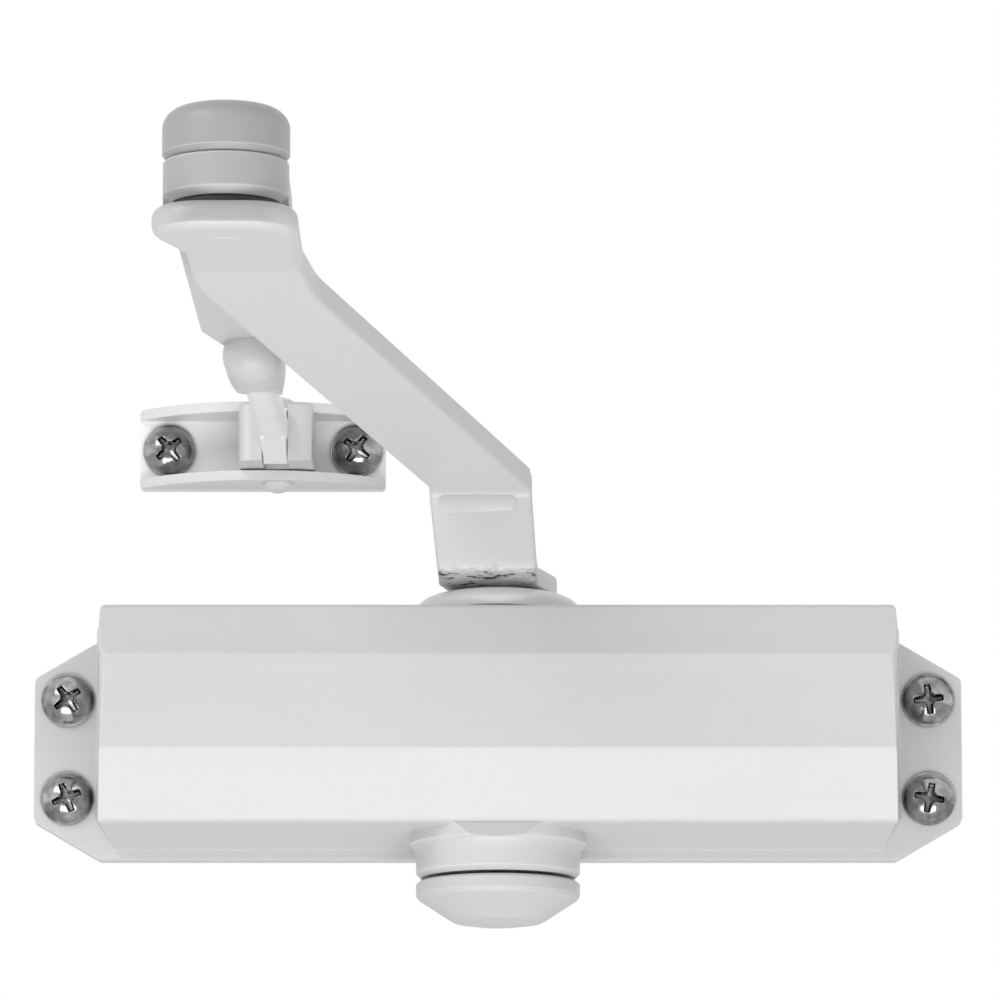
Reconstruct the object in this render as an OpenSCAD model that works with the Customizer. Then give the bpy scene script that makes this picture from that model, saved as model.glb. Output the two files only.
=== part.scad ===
// Overhead door closer: rack-and-pinion body, cranked main arm, forearm and frame shoe.
// Millimetres. The origin is the centre of the four mounting screws on the back plane,
// X runs to the right along the body, Z up, and the front of the closer faces -Y.
// Depths are distances in front of the back plane, so a depth d lies at y = -d.

/* [Mounting] */
// Distance between the left and right mounting screws
hole_pitch_x = 165; // [163:0.5:170]
// Distance between the upper and lower mounting screws
hole_pitch_z = 19; // [16:0.5:20]
// Thread diameter of the mounting and shoe screws
screw_d = 5; // [4:0.5:5.5]
// Play of the screws in the holes of the ears and shoe, on the radius
screw_play = 0.25; // [0.15:0.05:0.4]
// Head diameter of the mounting and shoe screws
screw_head_d = 10.2; // [9:0.1:10.5]
// Head height of the mounting and shoe screws
screw_head_h = 3.4; // [2.5:0.1:4]
// Length of screw behind the mounting plane
screw_grip = 20; // [12:1:30]

/* [Body] */
// Length of the body along its front face
body_len = 149.2; // [146:0.5:151]
// Depth of the body from the mounting plane
body_depth = 42; // [41:0.5:46]
// Height of the top face above the screw centre line
body_top = 23.4; // [22.5:0.1:26]
// Depth of the bottom face below the screw centre line
body_bottom = 19.4; // [19:0.1:21]
// Draft of the end faces, wider towards the mounting plane
end_draft = 3.7; // [1:0.1:5]
// Height of the sloped facet above the front face
top_facet = 10; // [7:0.5:12]
// Height of the sloped facet below the front face
low_facet = 13.4; // [10:0.2:15]
// Thickness of the mounting flange
flange_t = 5; // [3.5:0.5:6]
// Height of the flange above and below the screw centre line
flange_half_z = 21.2; // [20.5:0.1:22]
// Edge rounding of the body
body_edge_r = 1.3; // [0.6:0.1:2]
// Radius of the lower spindle boss
boss_r = 15.5; // [14.5:0.1:16]
// Bottom of the lower spindle boss, below the screw centre line
boss_drop = 26.8; // [26:0.1:28.5]

/* [Cylinder] */
// Bore of the piston cylinder
bore_d = 27; // [26:0.5:28]
// Height of the cylinder axis above the screw centre line
bore_z = 2.5; // [2:0.1:3]
// Depth of the cylinder and spindle axes from the mounting plane
axis_depth = 21; // [20:0.5:22]
// Thread diameter of the end plugs
plug_d = 29; // [28.5:0.5:30]
// Distance of a plug's inner face from the middle of the body
plug_inner = 60; // [59.5:0.5:62]
// Running clearance of piston and spindle, on the radius
running = 0.05; // [0.02:0.01:0.08]

/* [Valves] */
// Bore of the two regulating valves
valve_d = 5; // [4:0.1:5.4]
// Length of the valve bores from the end face
valve_bore_len = 26; // [24:0.5:30]
// Depth of the valves in front of the spindle axis
valve_forward = 12; // [11:0.25:12.5]
// Distance of the closing valve below the cylinder axis
closing_drop = 15; // [14:0.25:15.5]
// Distance of the latching valve above the cylinder axis
latching_rise = 14.5; // [14:0.25:15.5]
// Distance from a valve bore's inner end to the screw's ring groove
valve_ring_at = 10; // [8:0.5:14]

/* [Rack and pinion] */
// Gear module
gear_m = 1.5; // [1.4:0.05:1.6]
// Number of pinion teeth
teeth = 10; // [9:1:10]
// Pressure angle
pressure = 25; // [22:1:27]
// Height of the pinion
pinion_h = 14; // [11:0.5:15]
// Play between the teeth
backlash = 0.18; // [0.1:0.02:0.3]
// Spindle turn past the closed position
turn_past = 15; // [10:1:18]
// Largest spindle turn of an opened door
turn_open = 150; // [120:5:155]

/* [Springs] */
// Outer spring wire
outer_wire = 3.2; // [2.6:0.1:3.4]
// Outer spring turns
outer_turns = 5; // [4:0.5:5.5]
// Inner spring wire
inner_wire = 2.2; // [1.6:0.1:2.4]
// Inner spring turns
inner_turns = 7; // [5:0.5:8]

/* [Spindle] */
// Spindle journal diameter
journal_d = 12; // [11:0.25:12.5]
// Top of the bearing gland above the screw centre line
gland_top = 27.6; // [27:0.1:28.8]
// Radius of the gland's rim
gland_r = 15.5; // [14.8:0.1:16]
// Radius of the bottom cap
cap_r = 15.5; // [14:0.1:16]
// Height of the bottom cap
cap_h = 8.6; // [7.5:0.1:10]

/* [Main arm] */
// Distance between the spindle and elbow axes
main_arm_len = 170.4; // [165:0.5:180]
// Angle of the main arm from straight out, door closed
arm_rest = 15.8; // [15:0.1:17]
// Thickness of the arm strap
arm_t = 5; // [4:0.2:5.6]
// Width of the arm strap
arm_w = 19; // [17:0.5:20]
// Half width of the root plate around the spindle
root_r = 9.4; // [9:0.1:9.8]
// Depth of the neck's front face beyond the spindle axis
neck_reach = 12; // [12:0.25:14]
// Height of the crease where the strap leaves the neck
crease_z = 45.2; // [43:0.2:46.5]
// Height of the underside at the elbow
nose_z = 62.4; // [61.5:0.2:64]
// Radius of the nose around the elbow axis
nose_r = 12.5; // [12:0.1:13.5]

/* [Elbow] */
// Radius of the forearm boss
elbow_r = 10.8; // [10.2:0.1:12]
// Height of the forearm boss
elbow_h = 7.2; // [6.5:0.1:8]
// Height of the elbow cap
elbow_cap_h = 9.8; // [9:0.1:12]
// Gap between arm and forearm boss, filled by the washer
elbow_gap = 1.5; // [1.2:0.1:2.5]

/* [Forearm] */
// Thickness of the forearm strap
forearm_t = 5; // [4:0.2:5.4]
// Half width of the forearm strap at its far end
forearm_half = 8.8; // [7.5:0.1:9.5]
// Length of the forearm strap
strap_len = 86; // [83:1:90]
// Radius of the threaded socket
socket_r = 5.4; // [5:0.1:5.8]
// End of the threaded socket from the elbow axis
socket_end = 122; // [118:1:126]
// Diameter of the adjusting rod
rod_d = 6; // [5:0.1:6.4]
// Height of the rod axis above the screw centre line
rod_z = 58.7; // [58:0.1:59.5]

/* [Shoe] */
// Length of the shoe's arched flanges
shoe_len = 47.4; // [45:0.1:50]
// Distance from a shoe screw to the end of the shoe's base plate
shoe_end = 5.6; // [5.2:0.05:7]
// Height of the shoe
shoe_h = 15.3; // [15:0.1:17]
// Thickness of the shoe's base plate
shoe_t = 2.2; // [1.6:0.1:2.4]
// Thickness of the shoe's flanges
shoe_flange_t = 1.9; // [1.4:0.1:2]
// Distance between the shoe screws
shoe_pitch = 36.2; // [34.4:0.2:37]
// Depth of the shoe pin from the mounting plane
pin_depth = 10.2; // [10:0.1:11]
// Sideways place of the shoe pin
pin_x = -42.3; // [-44:0.1:-41]
// Distance of the shoe's middle to the left of its pin
shoe_offset = 3.1; // [0:0.1:3.5]
// Diameter of the shoe pin
shoe_pin_d = 4; // [3.5:0.1:4.2]
// Radius of the knuckle around the shoe pin
knuckle_r = 7.2; // [6.6:0.1:7.4]
// Thickness of the rod's flat eye
eye_t = 4.6; // [4:0.1:5]

/* [Hidden] */
$fn = 64;

// Small amount by which a cutting shape runs past what it cuts
over = 0.5;
// Gap between parts that move past each other face to face
face_gap = 0.3;
// Radial gap that stands for a pin pressed or riveted into its hole
pressed = 0.02;

enamel = [0.80, 0.81, 0.82];
steel = [0.62, 0.63, 0.65];
zinc = [0.72, 0.73, 0.74];
dark = [0.12, 0.12, 0.13];
brass = [0.72, 0.60, 0.32];

// Corner points of the body's section, as [y, z]
front_top = body_top - 0.3;
facet_in = 4;
low_in = 6.5;
section = [
  [0, -body_bottom],
  [-(body_depth - low_in), -body_bottom + 1.5],
  [-(body_depth - 0.5), -body_bottom + 1.5 + low_facet],
  [-body_depth, front_top - top_facet],
  [-(body_depth - facet_in), front_top],
  [0, body_top]];
end_front = body_len / 2;
end_back = end_front + body_depth * tan(end_draft);
ear_x = hole_pitch_x / 2 + screw_head_d / 2 + 1.3;
ear_z = hole_pitch_z / 2 + 4.2;
slant_x = end_back - 1.1;
screw_hole_r = screw_d / 2 + screw_play;
neck_relief = 0.3;

bore_r = bore_d / 2;
plug_r = plug_d / 2;
plug_outer = end_front - 1.2;
plug_shoulder = plug_inner + 6;
journal_r = journal_d / 2;
square_w = (journal_d - 0.1) / sqrt(2);
bush_r = journal_r + 3;
gland_spigot_r = 12.5;
gland_seat = bore_z + bore_r + 0.2;
seal_r = journal_r + 2;

pitch_r = gear_m * teeth / 2;
addendum = 0.8 * gear_m;
dedendum = gear_m;
base_r = pitch_r * cos(pressure);
tip_r = pitch_r + addendum;
root_gear_r = pitch_r - dedendum;
rack_pitch = PI * gear_m;
travel_open = pitch_r * turn_open * PI / 180;
travel_past = pitch_r * turn_past * PI / 180;
window_left = -(tip_r + travel_past + 0.8);
window_right = tip_r + travel_open + 0.8;
piston_r = bore_r - running;
piston_left = window_left - 12.5;
piston_right = plug_inner - travel_past - 1;
spring_seat = piston_left + 6;
spring_left = -plug_inner;
outer_spring_r = bore_r - 1.5 - outer_wire / 2;
inner_spring_r = outer_spring_r - outer_wire / 2 - 0.8 - inner_wire / 2;

// Main arm
arm_bottom = gland_top + 0.4;
root_t = 0.8 * arm_t;
neck_depth = axis_depth + neck_reach;
elbow_x = -main_arm_len * sin(arm_rest);
elbow_depth = axis_depth + main_arm_len * cos(arm_rest);
nose_top = nose_z + arm_t;
nose_back = elbow_depth - 25;
strap_slope = atan((nose_z - crease_z) / (nose_back - neck_depth));
strap_rise = arm_t / cos(strap_slope);

// Elbow
boss_z = nose_top + elbow_gap;
boss_top = boss_z + elbow_h;
pin_r = 4;
shoulder_r = 5;
bush_top = boss_top - 2.5;
elbow_nut_z = bush_top + 0.4;
cap_z = boss_top + 0.2;

// Forearm, from the elbow axis to the shoe pin
shoe_dx = pin_x - elbow_x;
shoe_dy = elbow_depth - pin_depth;
forearm_len = sqrt(shoe_dx * shoe_dx + shoe_dy * shoe_dy);
forearm_turn = atan2(shoe_dy, shoe_dx);
cross_back = 8.2;
eye_at = forearm_len - cross_back;
eye_r = 5.3;
rod_r = rod_d / 2;
slot_w = eye_t + 0.3;

// Shoe
shoe_mid_x = pin_x - shoe_offset;
shoe_low = rod_z - shoe_h / 2;
shoe_high = rod_z + shoe_h / 2;
flange_end = 3.5;
flange_peak = pin_depth + shoe_pin_d / 2 + 1.6;
flange_arc = flange_peak - flange_end;
flange_r = (pow(shoe_len / 2, 2) + flange_arc * flange_arc) / (2 * flange_arc);
knuckle_low = shoe_low + shoe_flange_t + face_gap;
knuckle_h = shoe_h - 2 * shoe_flange_t - 2 * face_gap;
cross_pin_r = 1.6;

// Points of an arc of radius r that rounds the corner b between a and c
function unit(v) = v / norm(v);
function corner_arc(a, b, c, r, n) =
  let (u = unit(a - b), v = unit(c - b), half = acos(u * v) / 2,
       centre = b + unit(u + v) * r / sin(half),
       p = b + u * r / tan(half) - centre, q = b + v * r / tan(half) - centre,
       start = atan2(p.y, p.x), sweep = (atan2(q.y, q.x) - start + 540) % 360 - 180)
  [for (i = [0:n]) centre + r * [cos(start + sweep * i / n), sin(start + sweep * i / n)]];
// Outline through the points, each corner rounded by its own radius
function rounded(pts, radii, n = 6) =
  let (count = len(pts))
  [for (i = [0:count - 1])
    each (radii[i] > 0
      ? corner_arc(pts[(i + count - 1) % count], pts[i], pts[(i + 1) % count], radii[i], n)
      : [pts[i]])];

// Extrudes an outline drawn as [y, z] along X, from x0 to x1
module along_x(x0, x1, pts) {
  translate([x0, 0, 0]) rotate([90, 0, 90]) linear_extrude(x1 - x0) polygon(pts);
}

// Cylinder along X
module rod_x(x0, x1, r) {
  translate([x0, 0, 0]) rotate([0, 90, 0]) cylinder(r = r, h = x1 - x0);
}

// Turned shape about the spindle's or another upright axis, drawn as [r, z]
module turned(pts) {
  rotate_extrude() polygon(pts);
}

// Pan-head screw with a cross recess, its head outwards along -Y and its seat at y = 0.
// A plain neck passes through the plate, and the thread grips beyond it
module pan_screw(d, head_d, head_h, plate_t, grip) {
  rim = 0.7;
  crown = head_h - rim;
  crown_r = (pow(head_d / 2 - 0.3, 2) + crown * crown) / (2 * crown);
  crown_turn = asin((head_d / 2 - 0.3) / crown_r);
  rotate([90, 0, 0]) difference() {
    union() {
      turned(concat([[0, 0], [head_d / 2, 0], [head_d / 2, rim]],
        [for (i = [0:8]) let (t = crown_turn * (1 - i / 8))
          [crown_r * sin(t), rim + crown - crown_r * (1 - cos(t))]]));
      translate([0, 0, -plate_t]) cylinder(r = d / 2 - neck_relief, h = plate_t);
      translate([0, 0, -plate_t - grip]) cylinder(r1 = d * 0.2, r2 = d / 2, h = d * 0.6);
      translate([0, 0, -plate_t - grip + d * 0.6]) cylinder(d = d, h = grip - d * 0.6);
    }
    for (turn = [45, 135]) rotate([0, 0, turn])
      translate([-head_d * 0.29, -0.55, head_h - 1.9]) cube([head_d * 0.58, 1.1, 3]);
    translate([0, 0, head_h - 2.4]) cylinder(r1 = 0.5, r2 = 1.3, h = 3);
  }
}

// Helical spring along X from x0 to x1 with a closed turn at each end
function spring_x(u, x0, x1, wire, turns) =
  let (dead = wire + 0.5, live = (x1 - x0 - wire - 2 * dead) / (turns - 2), t = u * turns)
  x0 + wire / 2 + (t < 1 ? t * dead
    : t < turns - 1 ? dead + (t - 1) * live
    : dead + (turns - 2) * live + (t - turns + 1) * dead);
module spring(x0, x1, r, wire, turns, sides = 8, per_turn = 14) {
  rings = ceil(turns * per_turn);
  pts = [for (i = [0:rings], k = [0:sides - 1])
    let (u = i / rings, a = u * turns * 360, q = r + wire / 2 * cos(k * 360 / sides))
    [spring_x(u, x0, x1, wire, turns) + wire / 2 * sin(k * 360 / sides), q * cos(a), q * sin(a)]];
  sides_faces = [for (i = [0:rings - 1], k = [0:sides - 1])
    let (a = i * sides + k, b = i * sides + (k + 1) % sides)
    each [[a, b, b + sides], [a, b + sides, a + sides]]];
  ends = [[for (k = [0:sides - 1]) sides - 1 - k],
    [for (k = [0:sides - 1]) rings * sides + k]];
  polyhedron(pts, concat(sides_faces, ends), convexity = 6);
}

// Square prism across an upright axis
module square_bar(w, z0, z1) {
  translate([-w / 2, -w / 2, z0]) cube([w, w, z1 - z0]);
}

// Outline of the mounting flange with its two ears, as [x, z]
function flange_outline() = rounded(
  [[-ear_x, -ear_z], [-slant_x, -flange_half_z], [slant_x, -flange_half_z], [ear_x, -ear_z],
   [ear_x, ear_z], [slant_x, flange_half_z], [-slant_x, flange_half_z], [-ear_x, ear_z]],
  [1.5, 2, 2, 1.5, 1.5, 2, 2, 1.5], 4);

// Tool that rounds the upper edge of an end face, standing along Y
module end_edge_tool(s) {
  translate([s * end_front, -body_depth, front_top]) rotate([0, 0, -s * end_draft])
    difference() {
      translate([s > 0 ? -body_edge_r : -over, -over, -body_edge_r])
        cube([body_edge_r + over, body_depth - flange_t + over, body_edge_r + over]);
      translate([-s * body_edge_r, -2 * over, -body_edge_r]) rotate([-90, 0, 0])
        cylinder(r = body_edge_r, h = body_depth + 2);
    }
}

// Tool that takes the lower corner off an end face, wider towards the mounting flange
module end_corner_tool(s) {
  corner_z = -body_bottom + 1.5;
  far = body_depth + 30;
  polyhedron([[s * end_front, -(body_depth - low_in), corner_z], [s * (end_back - 4), 0, -body_bottom],
    [s * (end_back + 0.5), 0, corner_z + 5.5], [s * (end_back + far), 0, -body_bottom - far]],
    s > 0 ? [[0, 1, 2], [0, 3, 1], [0, 2, 3], [1, 3, 2]] : [[0, 2, 1], [0, 1, 3], [0, 3, 2],
      [1, 2, 3]]);
}

module body_block() {
  intersection() {
    along_x(-end_back - 1, end_back + 1,
      rounded(section, [0, body_edge_r, body_edge_r, body_edge_r, body_edge_r, 0]));
    translate([0, 0, -body_bottom - 1]) linear_extrude(body_top + body_bottom + 2)
      polygon(rounded([[-end_back, 0], [-end_front, -body_depth],
        [end_front, -body_depth], [end_back, 0]], [0, body_edge_r, body_edge_r, 0]));
  }
}

// Spindle boss under the body. It flares where it leaves the bottom face, and its front
// blends down from the edge of the lower facet
module lower_boss() {
  flare = 1.2;
  root_z = -body_bottom - 1;
  front = axis_depth + boss_r + flare;
  intersection() {
    translate([0, -axis_depth, 0]) turned(concat(
      [[0, -body_bottom + 6], [boss_r + flare, -body_bottom + 6]],
      [for (i = [0:6]) let (t = i * 15)
        [boss_r + flare * (1 - sin(t)), root_z - 3.2 * (1 - cos(t))]],
      [[boss_r, -boss_drop + 0.9], [boss_r - 0.9, -boss_drop], [0, -boss_drop]]));
    along_x(-boss_r - flare - 1, boss_r + flare + 1, [[0, -body_bottom + 2],
      [-(body_depth - low_in - 1), -body_bottom + 2], [-(body_depth - low_in), -body_bottom + 1.5],
      [-front, root_z - 1.4], [-front, -boss_drop - 1], [0, -boss_drop - 1]]);
  }
}

module body_casting() {
  color(enamel) difference() {
    union() {
      difference() {
        body_block();
        for (s = [-1, 1]) {
          end_edge_tool(s);
          end_corner_tool(s);
        }
      }
      rotate([90, 0, 0]) linear_extrude(flange_t) polygon(flange_outline());
      lower_boss();
    }
    translate([0, -axis_depth, bore_z]) {
      rod_x(-plug_shoulder - over, plug_shoulder + over, bore_r);
      for (s = [-1, 1]) translate([s > 0 ? plug_shoulder : -end_back - 1, 0, 0])
        rod_x(0, end_back + 1 - plug_shoulder, plug_r);
    }
    translate([0, -axis_depth, 0]) {
      translate([0, 0, gland_seat]) cylinder(r = gland_spigot_r, h = body_top);
      translate([0, 0, bore_z]) cylinder(r = bush_r + 0.3, h = body_top);
      translate([0, 0, bottom_bush_low]) cylinder(r = bush_r, h = bore_z - bottom_bush_low);
      translate([0, 0, bottom_seal_low]) cylinder(r = seal_r, h = bore_z - bottom_seal_low);
      translate([0, 0, -boss_drop - over]) cylinder(r = journal_r + 0.15, h = boss_drop);
    }
    for (sx = [-1, 1], sz = [-1, 1])
      translate([sx * hole_pitch_x / 2, over, sz * hole_pitch_z / 2])
        rotate([90, 0, 0]) cylinder(r = screw_hole_r, h = flange_t + 2 * over);
    for (sx = [-1, 1], sz = [-1, 1])
      translate([sx * hole_pitch_x / 2, -flange_t, sz * hole_pitch_z / 2])
        rotate([90, 0, 0]) cylinder(d = screw_head_d + 0.8, h = body_depth);
    for (z = [closing_z, latching_z]) translate([0, -valve_depth, z]) {
      rod_x(valve_in, end_back + 1, valve_r);
      rod_x(valve_out, end_back + 1, valve_r + 0.8);
    }
  }
}
bottom_bush_low = -body_bottom + 0.4;
bottom_seal_low = bottom_bush_low - 2.6;

// The two regulating screws stand in the right end face, above and below the plug
valve_r = valve_d / 2;
valve_depth = axis_depth + valve_forward;
closing_z = bore_z - closing_drop;
latching_z = bore_z + latching_rise;
valve_in = end_front - valve_bore_len;
valve_ring = valve_d * 0.084;
valve_head_t = valve_d * 0.32;
valve_out = end_front - valve_head_t - 1;
ring_groove = 2 * valve_ring + 1.16;

needle_r = valve_r * 0.64;

module valve_screw(z) {
  translate([0, -valve_depth, z]) difference() {
    union() {
      rod_x(valve_in + valve_ring_at * 0.8, valve_out + valve_head_t, valve_r - 0.03);
      rod_x(valve_out + 0.02, valve_out + valve_head_t, valve_r + 0.5);
      rod_x(valve_in + valve_ring_at * 0.3, valve_in + valve_ring_at * 0.8, needle_r);
      translate([valve_in + 0.4, 0, 0]) rotate([0, 90, 0])
        cylinder(r1 = 0.3, r2 = needle_r, h = valve_ring_at * 0.3 - 0.4);
    }
    translate([valve_out + 0.7, -valve_d / 10, -valve_r - 1])
      cube([valve_head_t, valve_d / 5, 2 * valve_r + 2]);
    translate([valve_in + valve_ring_at, 0, 0]) rotate([0, 90, 0]) difference() {
      cylinder(r = valve_r + 1, h = ring_groove);
      cylinder(r = needle_r, h = ring_groove);
    }
  }
}
module closing_valve() { color(brass) valve_screw(closing_z); }
module latching_valve() { color(brass) valve_screw(latching_z); }
module valve_seals() {
  color(dark) for (z = [closing_z, latching_z])
    translate([valve_in + valve_ring_at + ring_groove / 2, -valve_depth, z]) rotate([0, 90, 0])
      rotate_extrude() translate([(valve_r + needle_r) / 2, 0]) circle(r = valve_ring, $fn = 24);
}

// End plug with a ring groove and two spanner holes; s is its side
module end_plug(s) {
  mirror([s < 0 ? 1 : 0, 0, 0]) translate([0, -axis_depth, bore_z]) difference() {
    union() {
      rod_x(plug_inner, plug_shoulder + 0.01, bore_r - 0.1);
      rod_x(plug_shoulder, plug_outer, plug_r);
    }
    rotate([0, 90, 0]) rotate_extrude()
      polygon([[bore_r - 1.4, plug_inner + 2.2], [bore_r + 1, plug_inner + 2.2],
        [bore_r + 1, plug_inner + 4], [bore_r - 1.4, plug_inner + 4]]);
    for (turn = [0, 180]) rotate([turn, 0, 0]) translate([0, 0, plug_r * 0.55])
      rod_x(plug_outer - 3.5, plug_outer + 1, 1.6);
  }
}
module end_plug_left() { color(steel) end_plug(-1); }
module end_plug_right() { color(steel) end_plug(1); }
module end_plug_seals() {
  color(dark) for (s = [-1, 1]) translate([s * (plug_inner + 3.1), -axis_depth, bore_z])
    rotate([0, 90, 0]) rotate_extrude() translate([bore_r - 0.72, 0]) circle(r = 0.65, $fn = 24);
}

// Screwed-in collar that carries the top bush and seal
module bearing_gland() {
  color(enamel) translate([0, -axis_depth, 0]) difference() {
    turned(concat([[0, gland_seat], [gland_spigot_r, gland_seat], [gland_spigot_r, body_top],
      [gland_r, body_top], [gland_r, gland_top - dome_h]],
      [for (i = [1:10]) let (t = i * 90 / 10)
        [gland_r - 7.5 * (1 - cos(t)), gland_top - dome_h + dome_h * sin(t)]],
      [[0, gland_top]]));
    translate([0, 0, gland_seat - over]) cylinder(r = bush_r, h = top_bush_h + over);
    translate([0, 0, gland_seat]) cylinder(r = seal_r, h = top_bush_h + 2.6);
    translate([0, 0, gland_seat]) cylinder(r = journal_r + 0.15, h = gland_top);
  }
}
top_bush_h = 5.8;
dome_h = 3.2;
top_seal_z = gland_seat + top_bush_h + 0.1;

module top_bush() {
  color(brass) translate([0, -axis_depth, gland_seat + 0.05]) difference() {
    cylinder(r = bush_r, h = top_bush_h - 0.05);
    translate([0, 0, -over]) cylinder(r = journal_r + running, h = top_bush_h + 2 * over);
  }
}
module bottom_bush() {
  top = bore_z - bore_r - 0.8;
  color(brass) translate([0, -axis_depth, bottom_bush_low]) difference() {
    cylinder(r = bush_r, h = top - bottom_bush_low);
    translate([0, 0, -over]) cylinder(r = journal_r + running, h = 20);
  }
}
module spindle_seals() {
  color(dark) for (z = [top_seal_z, bottom_seal_low + 0.1])
    translate([0, -axis_depth, z]) difference() {
      cylinder(r = seal_r - 0.02, h = 2.3);
      translate([0, 0, -over]) cylinder(r = journal_r + 0.02, h = 4);
    }
}

module mounting_screws() {
  color(zinc) for (sx = [-1, 1], sz = [-1, 1])
    translate([sx * hole_pitch_x / 2, -flange_t, sz * hole_pitch_z / 2])
      pan_screw(screw_d, screw_head_d, screw_head_h, flange_t, screw_grip);
}

// Involute flank: polar angle from the tooth's middle at radius r
function inv(a) = tan(a) * 180 / PI - a;
half_tooth = (PI * gear_m / 2 - backlash) / 2 / pitch_r * 180 / PI;
function flank(r) = half_tooth + inv(pressure) - (r > base_r ? inv(acos(base_r / r)) : 0);
function tooth_side(s) = [for (i = [0:6])
  let (k = s > 0 ? 6 - i : i, r = k == 0 ? root_gear_r
    : max(base_r, root_gear_r) + (tip_r - max(base_r, root_gear_r)) * (k - 1) / 5,
    a = flank(r)) r * [cos(s * a), sin(s * a)]];
function turn2(p, a) = [p.x * cos(a) - p.y * sin(a), p.x * sin(a) + p.y * cos(a)];
function pinion_outline() = [for (i = [0:teeth - 1])
  each [for (p = concat(tooth_side(-1), tooth_side(1))) turn2(p, i * 360 / teeth - 90)]];

module spindle() {
  low = -boss_drop - cap_h + 3;
  color(steel) translate([0, -axis_depth, 0]) difference() {
    union() {
      translate([0, 0, bore_z - pinion_h / 2]) linear_extrude(pinion_h) polygon(pinion_outline());
      translate([0, 0, -boss_drop - 0.3]) cylinder(r = journal_r, h = arm_bottom + boss_drop + 0.3);
      intersection() {
        square_bar(square_w, low, arm_bottom + root_t - 0.2);
        translate([0, 0, low]) cylinder(r = journal_r - 0.02, h = 100);
      }
    }
    translate([0, 0, arm_bottom + root_t - 14]) cylinder(d = arm_screw_d, h = 20);
    translate([0, 0, low - over]) cylinder(d = arm_screw_d, h = 10);
  }
}
arm_screw_d = 5;

// Piston with the rack on the front wall of its window
function rack_teeth() =
  let (half_tip = (PI * gear_m / 2 - backlash) / 2 - addendum * tan(pressure),
       half_foot = (PI * gear_m / 2 - backlash) / 2 + dedendum * tan(pressure),
       first = ceil(window_left / rack_pitch - 0.1), last = floor(window_right / rack_pitch - 0.6),
       tip_y = -(pitch_r - addendum), foot_y = -(pitch_r + dedendum))
  [for (k = [first:last]) let (x = (k + 0.5) * rack_pitch)
    each [[x - half_foot, foot_y], [x - half_tip, tip_y], [x + half_tip, tip_y],
      [x + half_foot, foot_y]]];

module piston() {
  depth_front = pitch_r + dedendum;
  depth_back = tip_r + 0.6;
  color(steel) translate([0, -axis_depth, bore_z]) difference() {
    union() {
      difference() {
        rod_x(piston_left, piston_right, piston_r);
        translate([window_left, -depth_front, -bore_r])
          cube([window_right - window_left, depth_front + depth_back, 2 * bore_r]);
      }
      intersection() {
        translate([0, 0, -bore_r]) linear_extrude(2 * bore_r)
          polygon(concat(rack_teeth(), [[window_right - 0.3, -depth_front],
            [window_right - 0.3, -depth_front - 1.2], [window_left + 0.3, -depth_front - 1.2],
            [window_left + 0.3, -depth_front]]));
        rod_x(piston_left, piston_right, piston_r);
      }
    }
    rod_x(piston_left - over, spring_seat, outer_spring_r + outer_wire / 2 + 0.2);
    rod_x(window_right - over, piston_right - 10, 2.2);
    rod_x(piston_right - 10, piston_right + over, 4);
    for (x = [piston_left + 3, piston_right - 5]) translate([x, 0, 0]) rotate([0, 90, 0])
      rotate_extrude() polygon([[piston_r - 0.6, 0], [bore_r + 1, 0], [bore_r + 1, 1.2],
        [piston_r - 0.6, 1.2]]);
  }
}
module check_valve_seat() {
  color(brass) translate([0, -axis_depth, bore_z]) difference() {
    rod_x(piston_right - 10, piston_right - 0.5, 4);
    rod_x(piston_right - 11, piston_right, 1.4);
    rod_x(piston_right - 8, piston_right - 2.5, 2.6);
  }
}
module check_ball() {
  color(steel) translate([piston_right - 5.5, -axis_depth, bore_z]) sphere(r = 2.3, $fn = 32);
}

module outer_spring() {
  color(steel) translate([0, -axis_depth, bore_z])
    spring(spring_left + 0.2, spring_seat - 0.2, outer_spring_r, outer_wire, outer_turns);
}
module inner_spring() {
  color(steel) translate([0, -axis_depth, bore_z])
    spring(spring_left + 0.2, spring_seat - 0.2, inner_spring_r, inner_wire, inner_turns);
}

// The main arm is a flat blank with rounded edges, bent along its side profile. The chains
// hold the underside and top of the profile as [depth, z], with matching points
bend_back = nose_back - arm_t * tan(strap_slope / 2);
crease_top = crease_z + strap_rise - arm_t * tan(strap_slope);
arm_tip = elbow_depth + nose_r + 0.2;
tip_round = 8.5;
arm_foot = axis_depth + 3;
low_chain = rounded([[arm_foot, arm_bottom], [neck_depth, arm_bottom], [neck_depth, crease_z],
  [nose_back, nose_z], [arm_tip - tip_round, nose_z], [arm_tip, nose_z]],
  [0, 5, 1.5, 20, 0, 0], 4);
top_chain = rounded([[arm_foot, arm_bottom + root_t], [neck_depth - arm_t, arm_bottom + root_t],
  [neck_depth - arm_t, crease_top], [bend_back, nose_top], [arm_tip - tip_round, nose_top],
  [arm_tip, nose_top]], [0, 1.5, 6, 15, 0, 0], 4);
function lengths(p, i = 0, sum = 0) = i == len(p) - 1 ? [sum]
  : concat([sum], lengths(p, i + 1, sum + norm(p[i + 1] - p[i])));
arm_s = lengths(low_chain);
function chain_table(chain, part) = [for (i = [0:len(chain) - 1]) [arm_s[i], chain[i][part]]];
low_d = chain_table(low_chain, 0);
low_z = chain_table(low_chain, 1);
top_d = chain_table(top_chain, 0);
top_z = chain_table(top_chain, 1);

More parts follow.
